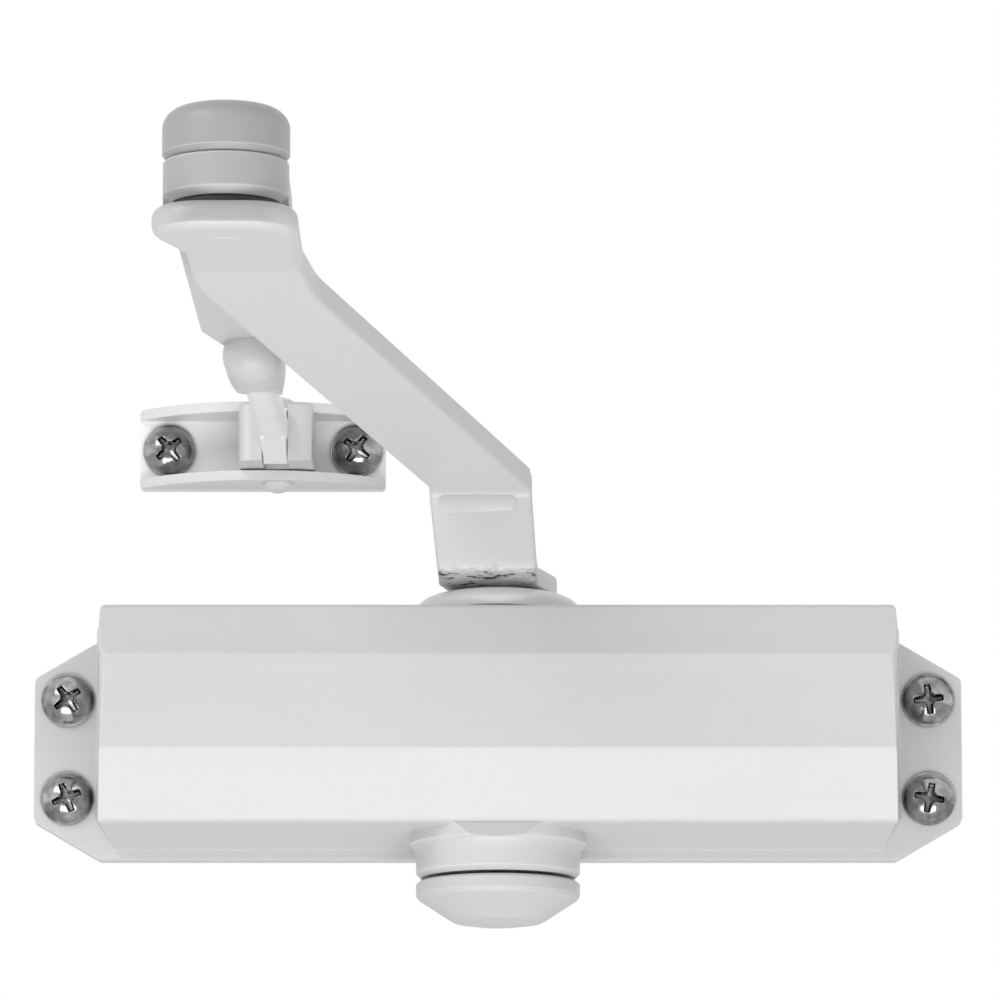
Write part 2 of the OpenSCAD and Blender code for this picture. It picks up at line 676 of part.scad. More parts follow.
// Edges of the strap in plan, as [depth, x]: it leaves the neck to the left and straightens
// towards the elbow. Below the crease the neck narrows and leans to the left
kink_left = elbow_x - arm_w / 2 + 2.7;
kink_right = kink_left + arm_w + 2.6;
neck_left = -arm_w / 2 - 3.5;
neck_right = neck_left + arm_w + 0.4;
strap_left = rounded([[neck_depth - 5, neck_left], [neck_depth + 2, neck_left],
  [elbow_depth - 34, kink_left], [elbow_depth - 13, kink_left - 0.7],
  [elbow_depth + 1, elbow_x - nose_r], [arm_tip - 0.9, elbow_x - nose_r],
  [arm_tip + 0.2, elbow_x - 0.1]], [0, 8, 30, 10, 6, tip_round, 0]);
strap_right = rounded([[neck_depth - 5, neck_right], [neck_depth + 0.5, neck_right],
  [elbow_depth - 41, kink_right], [elbow_depth - 27, elbow_x + nose_r],
  [arm_tip - 0.9, elbow_x + nose_r], [arm_tip + 0.2, elbow_x + 0.1]],
  [0, 12, 40, 10, tip_round, 0]);
function edge_x(side, s) =
  let (d = lookup(s, low_d), z = lookup(s, low_z), up = (z - arm_bottom) / (crease_z - arm_bottom),
       back = max(0, neck_depth - 5 - d) * tan(arm_rest))
  up < 1 ? (side < 0 ? neck_left + 1.8 * (1 - up) : neck_right + 1.2 * (1 - up)) + back
    : lookup(d, side < 0 ? strap_left : strap_right);

// Stations along the blank, closer together round the bends and the tip
station_step = 5;
body_stations = [for (i = [0:len(arm_s) - 3])
  let (n = ceil((arm_s[i + 1] - arm_s[i]) / station_step))
  for (k = [0:n - 1]) arm_s[i] + (arm_s[i + 1] - arm_s[i]) * k / n];
tip_s = arm_s[len(arm_s) - 1];
stations = concat(body_stations,
  [for (i = [0:7]) tip_s - tip_round * (1 - sin(i * 80 / 7))]);
last = len(stations) - 1;
// Round of the long edges at a station, larger round the nose
function edge_round(s) =
  lookup(s, [[0, 0.9], [tip_s - 42, 1.1], [tip_s - 24, 2.1], [tip_s, 2.1]]);
// Corner of the blank as [x, s], drawn in from the edge by a distance
function blank_point(side, k, in) =
  let (a = stations[max(0, k - 1)], b = stations[min(last, k + 1)],
       along = unit([edge_x(side, b) - edge_x(side, a), b - a]))
  [edge_x(side, stations[k]), stations[k]] + side * in * [-along.y, along.x];
// Bends the blank: a point x, s at height t of its thickness
function bent(x, s, t) = let (k = t / arm_t)
  [x, -(lookup(s, low_d) * (1 - k) + lookup(s, top_d) * k),
    lookup(s, low_z) * (1 - k) + lookup(s, top_z) * k];
// Layers of the thickness, as [height, distance in], in parts of the edge round
edge_steps = 3;
layers = concat([for (i = [0:edge_steps]) let (t = 90 * i / edge_steps) [0, 1 - cos(t), 1 - sin(t)]],
  [for (i = [edge_steps:-1:0]) let (t = 90 * i / edge_steps) [1, cos(t) - 1, 1 - sin(t)]]);
module bent_strap() {
  count = last + 1;
  ring = 2 * count;
  pts = [for (j = layers, side = [-1, 1], k = [0:last])
    let (r = edge_round(stations[k]), q = blank_point(side, k, r * j[2]))
    bent(q.x, q.y, arm_t * j[0] + r * j[1])];
  loop = concat([for (k = [0:last]) k], [for (k = [last:-1:0]) count + k]);
  walls = [for (j = [0:len(layers) - 2], i = [0:ring - 1])
    let (a = j * ring + loop[i], b = j * ring + loop[(i + 1) % ring])
    each [[a, b + ring, b], [a, a + ring, b + ring]]];
  roof = (len(layers) - 1) * ring;
  caps = [for (k = [0:last - 1]) let (a = k, b = count + k) each
    [[a, b + 1, b], [a, a + 1, b + 1],
     [roof + a, roof + b, roof + b + 1], [roof + a, roof + b + 1, roof + a + 1]]];
  polyhedron(pts, concat(walls, caps), convexity = 8);
}
// Plate under the arm screw, square to the arm
module root_plate() {
  translate([0, -axis_depth, arm_bottom]) rotate([0, 0, arm_rest]) {
    linear_extrude(root_t - 1) polygon(root_outline(0));
    translate([0, 0, root_t - 1]) linear_extrude(1) polygon(root_outline(0.8));
  }
}
function root_outline(in) = let (w = root_r - in)
  rounded([[-w + 0.6, -8.5], [w - 0.1, -6], [w, w], [-w + 0.6, w]], [0, 0, 1.5, 1.5]);
module main_arm() {
  rib_w = arm_w * 0.77;
  color(enamel) difference() {
    union() {
      bent_strap();
      root_plate();
      translate([neck_left + 1.8, -neck_depth + 0.4, crease_z - 4]) rotate([90, 0, 0])
        linear_extrude(0.75) polygon(rounded([[0, 0], [rib_w, 0.6], [rib_w, 3.6], [0, 3.6]],
          [1.2, 1.2, 1.2, 1.2]));
    }
    translate([0, -axis_depth, 0]) square_bar(square_w + 0.06, arm_bottom - 1, arm_bottom + root_t + 1);
    translate([elbow_x, -elbow_depth, nose_z - 1]) cylinder(r = pin_r + pressed, h = arm_t + 2);
  }
}

module arm_washer() {
  color(zinc) translate([0, -axis_depth, arm_bottom + root_t]) difference() {
    cylinder(r = neck_reach - arm_t - 2.1, h = 1.2);
    translate([0, 0, -over]) cylinder(d = arm_screw_d + 0.4, h = 3);
  }
}
module arm_screw() {
  seat = arm_bottom + root_t + 1.2;
  color(zinc) translate([0, -axis_depth, seat]) difference() {
    union() {
      turned([[0, 0], [4.4, 0], [4.4, 3.6], [3.9, 4.2], [0, 4.2]]);
      translate([0, 0, -13]) cylinder(d = arm_screw_d, h = 13);
    }
    translate([0, 0, 1.6]) cylinder(r = 2.5, h = 4, $fn = 6);
  }
}

// Snap-on cover over the free lower end of the spindle
module bottom_cap() {
  top = -boss_drop - 0.7;
  foot = -boss_drop - cap_h - 0.6;
  color(enamel) translate([0, -axis_depth, 0]) difference() {
    turned([[0, top], [cap_r - 0.7, top], [cap_r, top - 0.5], [cap_r, top - 2.6],
      [cap_r - 0.4, top - 3.3], [9, foot + 1.2], [8.2, foot + 0.8], [4.5, foot + 0.25],
      [0, foot]]);
    difference() {
      translate([0, 0, top - 2.6]) cylinder(r = cap_r - 2, h = 3);
      translate([0, 0, top - 3]) cylinder(r = square_w * 0.71 + 1.8, h = 4);
    }
    square_bar(square_w + 0.06, -boss_drop - cap_h + 2.6, top + 1);
    translate([0, 0, -boss_drop - 0.9]) cylinder(r = journal_r + 0.1, h = 3);
  }
}

module at_elbow() {
  translate([elbow_x, -elbow_depth, 0]) children();
}
module elbow_pin() {
  color(zinc) at_elbow() turned([[0, nose_z - 0.15], [pin_r - 0.6, nose_z - 0.15],
    [pin_r, nose_z + 0.4], [pin_r, nose_top], [shoulder_r, nose_top],
    [shoulder_r, elbow_nut_z], [3.5, elbow_nut_z], [3.5, elbow_nut_z + 6.4],
    [3, elbow_nut_z + 7], [0, elbow_nut_z + 7]]);
}
module elbow_washer() {
  color(dark) at_elbow() translate([0, 0, nose_top]) difference() {
    cylinder(r = elbow_r - 1.7, h = elbow_gap - 0.2);
    translate([0, 0, -over]) cylinder(r = shoulder_r + 0.05, h = 5);
  }
}
module elbow_bush() {
  color(brass) at_elbow() translate([0, 0, boss_z + 0.1]) difference() {
    cylinder(r = shoulder_r + 1.5, h = bush_top - boss_z - 0.1);
    translate([0, 0, -over]) cylinder(r = shoulder_r + running, h = 12);
  }
}
module elbow_nut() {
  color(zinc) at_elbow() translate([0, 0, elbow_nut_z]) difference() {
    cylinder(r = 6.35, h = 5, $fn = 6);
    translate([0, 0, -over]) cylinder(r = 3.5, h = 6);
  }
}

// Frame of the forearm: X runs from the elbow axis to the shoe pin
module in_forearm() {
  translate([elbow_x, -elbow_depth, 0]) rotate([0, 0, forearm_turn]) children();
}
forearm_bend = 20;
strap_low = rod_z + 1.5;
// Place where the slanting mouth of the socket leaves its underside
mouth_at = socket_end - 32;
module forearm_link() {
  taper = strap_len - 9;
  plan = [[0, -elbow_r], [taper, -forearm_half], [strap_len, -socket_r + 0.4],
    [strap_len + 4, -socket_r + 1.4], [strap_len + 4, socket_r - 1.4],
    [strap_len, socket_r - 0.4], [taper, forearm_half], [0, elbow_r]];
  side = [[-elbow_r, boss_z], [forearm_bend, boss_z], [strap_len + 4, strap_low],
    [strap_len + 4, strap_low + 3], [forearm_bend, boss_z + forearm_t],
    [-elbow_r, boss_z + forearm_t]];
  color(enamel) in_forearm() difference() {
    union() {
      intersection() {
        translate([0, 0, strap_low - 1]) linear_extrude(boss_top - strap_low)
          polygon(rounded(plan, [0, 4, 3, 1, 1, 3, 4, 0]));
        rotate([90, 0, 0]) translate([0, 0, -elbow_r - 1]) linear_extrude(2 * elbow_r + 2)
          polygon(rounded(side, [0, 20, 0, 0, 20, 0]));
      }
      turned([[0, boss_z], [elbow_r - 1.3, boss_z], [elbow_r, boss_z + 1.3],
        [elbow_r, boss_top - 0.3], [elbow_r - 0.3, boss_top], [0, boss_top]]);
      translate([0, 0, rod_z]) rotate([0, 90, 0]) rotate_extrude() polygon(concat(
        [[0, strap_len - 7]],
        [for (i = [1:8]) [socket_r * sin(i * 90 / 8), strap_len - 7 + 5 * (1 - cos(i * 90 / 8))]],
        [[socket_r, socket_end - 26]],
        [for (i = [0:6]) let (k = i / 6)
          [socket_r - (socket_r - rod_r - 0.5) * pow(k, 1.2), socket_end - 25 + 24.5 * k]],
        [[rod_r + 0.3, socket_end], [0, socket_end]]));
    }
    translate([0, 0, boss_z - 1]) cylinder(r = shoulder_r + 1.5, h = elbow_h + 2);
    translate([0, 0, bush_top]) cylinder(r = elbow_r - 2.2, h = 10);
    translate([0, 0, rod_z]) rod_x(strap_len, socket_end + 1, rod_r + running);
    rotate([90, 0, 0]) translate([0, 0, -elbow_r]) linear_extrude(2 * elbow_r)
      polygon([[mouth_at, rod_z - 2 * socket_r], [mouth_at, rod_z - socket_r + 0.1],
        [socket_end + 1, rod_z], [socket_end + 1, rod_z - 2 * socket_r]]);
  }
}
module elbow_cap() {
  spigot = elbow_r - 2.25;
  rim = elbow_r + 0.15;
  top = cap_z + elbow_cap_h;
  color(enamel) at_elbow() difference() {
    union() {
      turned(concat([[0, cap_z], [rim - 0.8, cap_z], [rim, cap_z + 1.1], [rim, top - 4.2]],
        [for (i = [1:10]) let (t = i * 80 / 10)
          [rim - 4.2 * (1 - cos(t)), top - 4.2 + 3.7 * sin(t)]],
        [[4, top - 0.2], [0, top]]));
      translate([0, 0, bush_top + 0.1]) cylinder(r = spigot, h = 4);
    }
    translate([0, 0, bush_top]) cylinder(r = spigot - 1.2, h = top - 1.8 - bush_top);
  }
}

module adjusting_rod() {
  color(zinc) in_forearm() translate([0, 0, rod_z]) difference() {
    union() {
      rod_x(strap_len + 10, eye_at - 14, rod_r);
      intersection() {
        rod_x(eye_at - 14, eye_at - 2, rod_r);
        translate([0, 0, -rod_r]) linear_extrude(2 * rod_r)
          polygon([[eye_at - 15, -rod_r], [eye_at - 9, -rod_r + 0.3], [eye_at - 4.8, -eye_t / 2],
            [eye_at, -eye_t / 2], [eye_at, eye_t / 2], [eye_at - 4.8, eye_t / 2],
            [eye_at - 9, rod_r - 0.3], [eye_at - 15, rod_r]]);
      }
      translate([eye_at, eye_t / 2, 0]) rotate([90, 0, 0]) linear_extrude(eye_t)
        union() {
          circle(r = eye_r);
          polygon([[0, -eye_r], [-5, -4], [-12, -rod_r + 0.4], [-12, rod_r - 0.4], [-5, 4],
            [0, eye_r]]);
        }
    }
    translate([eye_at, eye_r, 0]) rotate([90, 0, 0]) cylinder(r = cross_pin_r + running, h = 2 * eye_r);
  }
}

// Fork that turns on the shoe pin and holds the rod's eye on a cross pin
module swivel_knuckle() {
  front = forearm_len - eye_at + 4.4;
  back = forearm_len - eye_at - eye_r - 0.25;
  color(zinc) in_forearm() translate([forearm_len, 0, knuckle_low]) difference() {
    union() {
      cylinder(r = knuckle_r, h = knuckle_h);
      linear_extrude(knuckle_h) polygon(rounded([[0, -knuckle_r], [0, knuckle_r],
        [-front, knuckle_r - 0.2], [-front, -knuckle_r + 0.2]], [0, 0, 2.5, 2.5]));
    }
    translate([-front - 1, -slot_w / 2, -1]) cube([front + 1 - back, slot_w, knuckle_h + 2]);
    translate([0, 0, -1]) cylinder(r = shoe_pin_d / 2 + running, h = knuckle_h + 2);
    translate([eye_at - forearm_len, knuckle_r + 1, rod_z - knuckle_low]) rotate([90, 0, 0])
      cylinder(r = cross_pin_r + pressed, h = 2 * knuckle_r + 2);
  }
}
module cross_pin() {
  color(steel) in_forearm() translate([eye_at, knuckle_r - 0.1, rod_z]) rotate([90, 0, 0])
    cylinder(r = cross_pin_r, h = 2 * knuckle_r - 0.2);
}

module shoe_plan() {
  intersection() {
    translate([shoe_mid_x - shoe_len / 2, -flange_peak]) square([shoe_len, flange_peak]);
    translate([shoe_mid_x, flange_r - flange_peak]) circle(r = flange_r, $fn = 128);
  }
}
function shoe_face(half) = rounded([[-half, -shoe_h / 2], [half, -shoe_h / 2],
  [half, shoe_h / 2], [-half, shoe_h / 2]], [0.8, 0.8, 0.8, 0.8]);
module shoe_bracket() {
  color(enamel) difference() {
    union() {
      translate([shoe_mid_x, 0, rod_z]) rotate([90, 0, 0]) linear_extrude(shoe_t)
        polygon(shoe_face(shoe_pitch / 2 + shoe_end));
      intersection() {
        translate([shoe_mid_x, 0, rod_z]) rotate([90, 0, 0]) linear_extrude(flange_peak + 1)
          polygon(shoe_face(shoe_len / 2));
        for (z = [shoe_low, shoe_high - shoe_flange_t])
          translate([0, 0, z]) linear_extrude(shoe_flange_t) shoe_plan();
      }
    }
    translate([pin_x, -pin_depth, shoe_low - 1])
      cylinder(r = shoe_pin_d / 2 + pressed, h = shoe_h + 2);
    for (s = [-1, 1]) translate([shoe_mid_x + s * shoe_pitch / 2, over, rod_z])
      rotate([90, 0, 0]) cylinder(r = screw_hole_r, h = shoe_t + 2 * over);
  }
}
module shoe_pin() {
  head = shoe_pin_d / 2 + 1.2;
  color(zinc) translate([pin_x, -pin_depth, 0]) turned(concat(
    [[0, shoe_low - 1.9], [1, shoe_low - 1.9], [head - 1.1, shoe_low - 1.4],
     [head - 0.3, shoe_low - 0.7], [head - 0.3, shoe_low], [shoe_pin_d / 2, shoe_low],
     [shoe_pin_d / 2, shoe_high]],
    [for (i = [0:6]) let (t = i * 15) [head * cos(t), shoe_high + 1.4 * sin(t)]]));
}
module shoe_screws() {
  color(zinc) for (s = [-1, 1])
    translate([shoe_mid_x + s * shoe_pitch / 2, -shoe_t, rod_z])
      pan_screw(screw_d, screw_head_d, screw_head_h, shoe_t, screw_grip);
}

body_casting();
end_plug_left();
end_plug_right();
end_plug_seals();
bearing_gland();
top_bush();
bottom_bush();
spindle_seals();
mounting_screws();
closing_valve();
latching_valve();
valve_seals();
piston();
check_valve_seat();
check_ball();
outer_spring();
inner_spring();
spindle();
main_arm();
arm_washer();
arm_screw();
bottom_cap();
elbow_pin();
elbow_washer();
elbow_bush();
elbow_nut();
forearm_link();
elbow_cap();
adjusting_rod();
swivel_knuckle();
cross_pin();
shoe_bracket();
shoe_pin();
shoe_screws();
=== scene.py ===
# Looks of the overhead door closer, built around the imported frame. Metres, row frame:
# +Z up, +X right, the closer's front faces -Y and its back plane is Y = 0.
import math

import bmesh
import bpy
from mathutils import Matrix, Vector


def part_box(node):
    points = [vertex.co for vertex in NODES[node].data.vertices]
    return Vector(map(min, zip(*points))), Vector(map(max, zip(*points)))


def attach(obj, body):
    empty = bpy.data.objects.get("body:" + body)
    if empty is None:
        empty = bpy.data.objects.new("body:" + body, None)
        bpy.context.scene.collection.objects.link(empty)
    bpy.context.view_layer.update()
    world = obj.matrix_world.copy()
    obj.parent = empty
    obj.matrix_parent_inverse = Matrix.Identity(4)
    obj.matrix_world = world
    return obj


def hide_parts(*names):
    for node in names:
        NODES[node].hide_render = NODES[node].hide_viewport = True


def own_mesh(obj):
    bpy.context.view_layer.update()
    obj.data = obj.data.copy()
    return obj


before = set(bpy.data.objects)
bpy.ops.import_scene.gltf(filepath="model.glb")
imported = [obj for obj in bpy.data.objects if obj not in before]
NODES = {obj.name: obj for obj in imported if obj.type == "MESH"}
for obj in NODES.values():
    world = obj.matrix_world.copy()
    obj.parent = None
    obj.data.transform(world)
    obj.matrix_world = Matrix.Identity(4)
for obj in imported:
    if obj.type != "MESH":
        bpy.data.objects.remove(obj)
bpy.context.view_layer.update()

MM = 0.001
SCENE = bpy.context.scene


# Camera

# The photograph is 1000 pixels square. These were found from the ear screws' pattern and the
# ellipses of the round parts.
PHOTO_SIZE = 1000
FOCAL_PIXELS = 7870
CENTRE_LINE_PIXEL = 498
CAMERA_DISTANCE = 1.500
CAMERA_DROP = 0.208
CAMERA_PITCH = math.radians(9.74)
SENSOR = 36.0


def make_camera():
    """Camera at the photograph's place, below the closer and looking up at it."""
    data = bpy.data.cameras.new("photo_camera")
    data.sensor_width = SENSOR
    data.lens = SENSOR * FOCAL_PIXELS / PHOTO_SIZE
    data.clip_start = 0.1
    data.clip_end = 60.0
    camera = bpy.data.objects.new("photo_camera", data)
    sideways = (PHOTO_SIZE / 2 - CENTRE_LINE_PIXEL) * CAMERA_DISTANCE / FOCAL_PIXELS
    camera.location = (sideways, -CAMERA_DISTANCE, -CAMERA_DROP)
    camera.rotation_euler = (math.pi / 2 + CAMERA_PITCH, 0.0, 0.0)
    SCENE.collection.objects.link(camera)
    SCENE.camera = camera


# Node helpers


def new_material(name):
    """An empty node material with its output, as (material, nodes, links, output)."""
    material = bpy.data.materials.new(name)
    material.use_nodes = True
    tree = material.node_tree
    tree.nodes.clear()
    output = tree.nodes.new("ShaderNodeOutputMaterial")
    return material, tree.nodes, tree.links, output


def object_coordinates(nodes):
    """Place on the object in the row frame, in metres."""
    return nodes.new("ShaderNodeTexCoord").outputs["Object"]


def noise(nodes, links, vector, scale, detail=2.0, roughness=0.5):
    texture = nodes.new("ShaderNodeTexNoise")
    texture.inputs["Scale"].default_value = scale
    texture.inputs["Detail"].default_value = detail
    texture.inputs["Roughness"].default_value = roughness
    links.new(vector, texture.inputs["Vector"])
    return texture.outputs["Fac"]


def ramp(nodes, links, value, stops):
    """Colour ramp through (position, grey or colour) stops."""
    node = nodes.new("ShaderNodeValToRGB")
    elements = node.color_ramp.elements
    while len(elements) < len(stops):
        elements.new(0.5)
    for element, (position, colour) in zip(elements, stops):
        element.position = position
        rgb = (colour,) * 3 if isinstance(colour, (int, float)) else colour
        element.color = (*rgb, 1.0)
    links.new(value, node.inputs["Fac"])
    return node.outputs["Color"]


def add_up(nodes, links, values):
    """Sum of several values, held to 1."""
    total = values[0]
    for value in values[1:]:
        node = nodes.new("ShaderNodeMath")
        node.operation = "ADD"
        node.use_clamp = True
        links.new(total, node.inputs[0])
        links.new(value, node.inputs[1])
        total = node.outputs[0]
    return total


def stretched(nodes, links, vector, scale):
    node = nodes.new("ShaderNodeMapping")
    node.inputs["Scale"].default_value = scale
    links.new(vector, node.inputs["Vector"])
    return node.outputs[0]


def average(nodes, links, first, second):
    """Mean of two values."""
    node = nodes.new("ShaderNodeMix")
    node.inputs["Factor"].default_value = 0.5
    links.new(first, node.inputs["A"])
    links.new(second, node.inputs["B"])
    return node.outputs["Result"]


def tinted(colour, factor):
    return tuple(min(1.0, c * factor) for c in colour)


def bump(nodes, links, height, strength, distance, normal=None):
    node = nodes.new("ShaderNodeBump")
    node.inputs["Strength"].default_value = strength
    node.inputs["Distance"].default_value = distance
    links.new(height, node.inputs["Height"])
    if normal is not None:
        links.new(normal, node.inputs["Normal"])
    return node.outputs["Normal"]


def worn_edge(nodes, radius):
    """Normal that rounds sharp edges a little, as paint does."""
    node = nodes.new("ShaderNodeBevel")
    node.samples = 4
    node.inputs["Radius"].default_value = radius
    return node.outputs["Normal"]


# Materials

# Where the painted shade at the foot of the arm's neck begins to show and where it is full
ROOT_SHADE_TOP = 33.6 * MM
ROOT_SHADE_BOTTOM = 30.4 * MM
ROOT_SHADE_FRONT = -29.0 * MM
ROOT_SHADE_BACK = -26.0 * MM


def blend_colours(nodes, links, factor, first, second):
    """Mix of two colours, each a socket or a plain value, by a factor of either kind."""
    node = nodes.new("ShaderNodeMix")
    node.data_type = "RGBA"
    sockets = {i.identifier: i for i in node.inputs}
    for name, value in (("Factor_Float", factor), ("A_Color", first), ("B_Color", second)):
        if isinstance(value, bpy.types.NodeSocket):
            links.new(value, sockets[name])
        else:
            sockets[name].default_value = value
    return next(o for o in node.outputs if o.identifier == "Result_Color")


def facing(nodes, links, axis):
    """1 on faces that look along the axis, 0 on the others."""
    axes = nodes.new("ShaderNodeSeparateXYZ")
    links.new(nodes.new("ShaderNodeTexCoord").outputs["Normal"], axes.inputs[0])
    size = nodes.new("ShaderNodeMath")
    size.operation = "ABSOLUTE"
    links.new(axes.outputs[axis], size.inputs[0])
    return ramp(nodes, links, size.outputs[0], [(0.25, 0.0), (0.75, 1.0)])


def past(nodes, links, place, span):
    """0 in front of a span of depth, 1 behind it."""
    axes = nodes.new("ShaderNodeSeparateXYZ")
    links.new(place, axes.inputs[0])
    fade = nodes.new("ShaderNodeMapRange")
    fade.inputs["From Min"].default_value, fade.inputs["From Max"].default_value = span
    links.new(axes.outputs["Y"], fade.inputs["Value"])
    return fade.outputs[0]


def edge_mask(nodes, links, rounded_normal):
    """1 along sharp edges, where the rounded normal leaves the face's own."""
    dot = nodes.new("ShaderNodeVectorMath")
    dot.operation = "DOT_PRODUCT"
    links.new(rounded_normal, dot.inputs[0])
    links.new(nodes.new("ShaderNodeNewGeometry").outputs["Normal"], dot.inputs[1])
    return ramp(nodes, links, dot.outputs["Value"], [(0.93, 1.0), (0.985, 0.0)])


def painted_root_shade(nodes, links, place, paint):
    """Painted shade, broken into dark specks, where the arm's root bends under the neck."""
    axes = nodes.new("ShaderNodeSeparateXYZ")
    links.new(place, axes.inputs[0])
    parts = [noise(nodes, links, stretched(nodes, links, place, (0.35, 1.0, 1.3)), 800.0,
                   3.0, 0.7)]
    for axis, start, end, highest in (("Z", ROOT_SHADE_TOP, ROOT_SHADE_BOTTOM, 0.06),
                                      ("Y", ROOT_SHADE_BACK, ROOT_SHADE_FRONT, 0.0)):
        fade = nodes.new("ShaderNodeMapRange")
        fade.inputs["From Min"].default_value = start
        fade.inputs["From Max"].default_value = end
        fade.inputs["To Min"].default_value = -0.7
        fade.inputs["To Max"].default_value = highest
        links.new(axes.outputs[axis], fade.inputs["Value"])
        parts.append(fade.outputs[0])
    stops = [(0.42, 0.0), (0.5, 0.22), (0.61, 0.28), (0.67, 1.0)]
    mask = ramp(nodes, links, add_up(nodes, links, parts), stops)
    return blend_colours(nodes, links, mask, paint, (0.03, 0.03, 0.03, 1.0))


def enamel(name, colour, roughness, peel=1.0, flake=0.03, drawn=(1.0, 1.0, 1.0),
           shade_on_sides=None, behind=None, shade_at_root=False, sharp=True):
    """Silver-grey stoving enamel: fine orange peel, metallic fleck and faint drawing lines.

    The drawing lines of the metal below run along the axis with the smallest scale. With
    an axis and a colour for the sides, faces that don't look along that axis have the colour as
    painted shade, up to a span of depth where there is one. With a span and a colour for what
    lies behind it, what lies behind the span has the colour as painted light. When asked,
    painted shade darkens the foot of the arm's neck in dark specks.
    Sharp edges are rounded, and a painted highlight lightens them.
    """
    material, nodes, links, output = new_material(name)
    shader = nodes.new("ShaderNodeBsdfPrincipled")
    place = object_coordinates(nodes)
    cloud = noise(nodes, links, place, 45.0, 3.0)
    fleck = noise(nodes, links, place, 2200.0, 1.0)
    lines = noise(nodes, links, stretched(nodes, links, place, drawn), 420.0, 3.0)
    mixed = average(nodes, links, average(nodes, links, cloud, lines), fleck)
    stops = [(0.32, tinted(colour, 1 - flake)), (0.68, tinted(colour, 1 + flake))]
    paint = ramp(nodes, links, mixed, stops)
    # Painted shade on faces that don't look along the axis, in front of the span where there is
    # one
    if shade_on_sides:
        axis, sides_shade_paint, span = shade_on_sides
        full = facing(nodes, links, axis)
        if span:
            full = add_up(nodes, links, [full, past(nodes, links, place, span)])
        paint = blend_colours(nodes, links, full, sides_shade_paint, paint)
    # Painted light behind the span, on the shoe's base where its flanges shade it
    if behind:
        span, lit_base_paint = behind
        paint = blend_colours(nodes, links, past(nodes, links, place, span), paint, lit_base_paint)
    edges = None
    if sharp:
        edges = worn_edge(nodes, 0.35 * MM)
        # Painted highlight along sharp edges: their paint is lightened halfway to white
        edge_highlight = blend_colours(nodes, links, 0.55, paint, (1.0, 1.0, 1.0, 1.0))
        paint = blend_colours(nodes, links, edge_mask(nodes, links, edges), paint, edge_highlight)
    # Painted shade, in dark specks, at the foot of the arm's neck
    if shade_at_root:
        paint = painted_root_shade(nodes, links, place, paint)
    links.new(paint, shader.inputs["Base Color"])
    stops = [(0.3, roughness - 0.04), (0.7, roughness + 0.05)]
    links.new(ramp(nodes, links, cloud, stops), shader.inputs["Roughness"])
    ripple = noise(nodes, links, place, 1100.0, 2.0, 0.6)
    wave = noise(nodes, links, place, 260.0, 1.0)
    normal = bump(nodes, links, wave, 0.12 * peel, 0.2 * MM, edges)
    normal = bump(nodes, links, ripple, 0.22 * peel, 0.06 * MM, normal)
    links.new(normal, shader.inputs["Normal"])
    shader.inputs["Coat Weight"].default_value = 0.25
    shader.inputs["Coat Roughness"].default_value = 0.32
    links.new(shader.outputs[0], output.inputs["Surface"])
    return material


def metal(name, colour, roughness, streak_scale=(60.0, 60.0, 60.0), streak=0.08, edge=0.12,
          tarnish_and_recess_shade=0.1, patch_scale=130.0, metallic=1.0):
    """Bare or plated metal with fine machining streaks and tarnish; where the tarnish is strong,
    painted shade darkens its recesses.
    """
    material, nodes, links, output = new_material(name)
    shader = nodes.new("ShaderNodeBsdfPrincipled")
    place = object_coordinates(nodes)
    streaks = noise(nodes, links, stretched(nodes, links, place, streak_scale), 14.0, 4.0, 0.65)
    tarnish = noise(nodes, links, place, patch_scale, 4.0, 0.6)
    stops = [(0.3, tinted(colour, 1 - tarnish_and_recess_shade)), (0.7, tinted(colour, 1 + tarnish_and_recess_shade))]
    plating = ramp(nodes, links, tarnish, stops)
    # Painted shade: recesses are darkened nearly to black by ambient occlusion
    if tarnish_and_recess_shade > 0.2:
        hollow = nodes.new("ShaderNodeAmbientOcclusion")
        hollow.samples = 4
        hollow.inputs["Distance"].default_value = 1.6 * MM
        links.new(plating, hollow.inputs["Color"])
        open_face = ramp(nodes, links, hollow.outputs["AO"], [(0.35, 0.0), (0.85, 1.0)])
        plating = blend_colours(nodes, links, open_face, (0.015, 0.015, 0.015, 1.0), plating)
    links.new(plating, shader.inputs["Base Color"])
    stops = [(0.2, max(0.02, roughness - streak)), (0.8, roughness + streak)]
    links.new(ramp(nodes, links, streaks, stops), shader.inputs["Roughness"])
    normal = worn_edge(nodes, edge * MM)
    links.new(bump(nodes, links, streaks, 0.1, 0.02 * MM, normal), shader.inputs["Normal"])
    shader.inputs["Metallic"].default_value = metallic
    links.new(shader.outputs[0], output.inputs["Surface"])
    return material


def rubber(name, colour, roughness):
    """Dull rubber or plastic with a fine grain."""
    material, nodes, links, output = new_material(name)
    shader = nodes.new("ShaderNodeBsdfPrincipled")
    place = object_coordinates(nodes)
    grain = noise(nodes, links, place, 1500.0, 3.0, 0.6)
    stops = [(0.3, tinted(colour, 0.8)), (0.7, tinted(colour, 1.25))]
    links.new(ramp(nodes, links, grain, stops), shader.inputs["Base Color"])
    stops = [(0.3, roughness - 0.08), (0.7, roughness + 0.08)]
    links.new(ramp(nodes, links, grain, stops), shader.inputs["Roughness"])
    links.new(bump(nodes, links, grain, 0.3, 0.03 * MM), shader.inputs["Normal"])
    links.new(shader.outputs[0], output.inputs["Surface"])
    return material


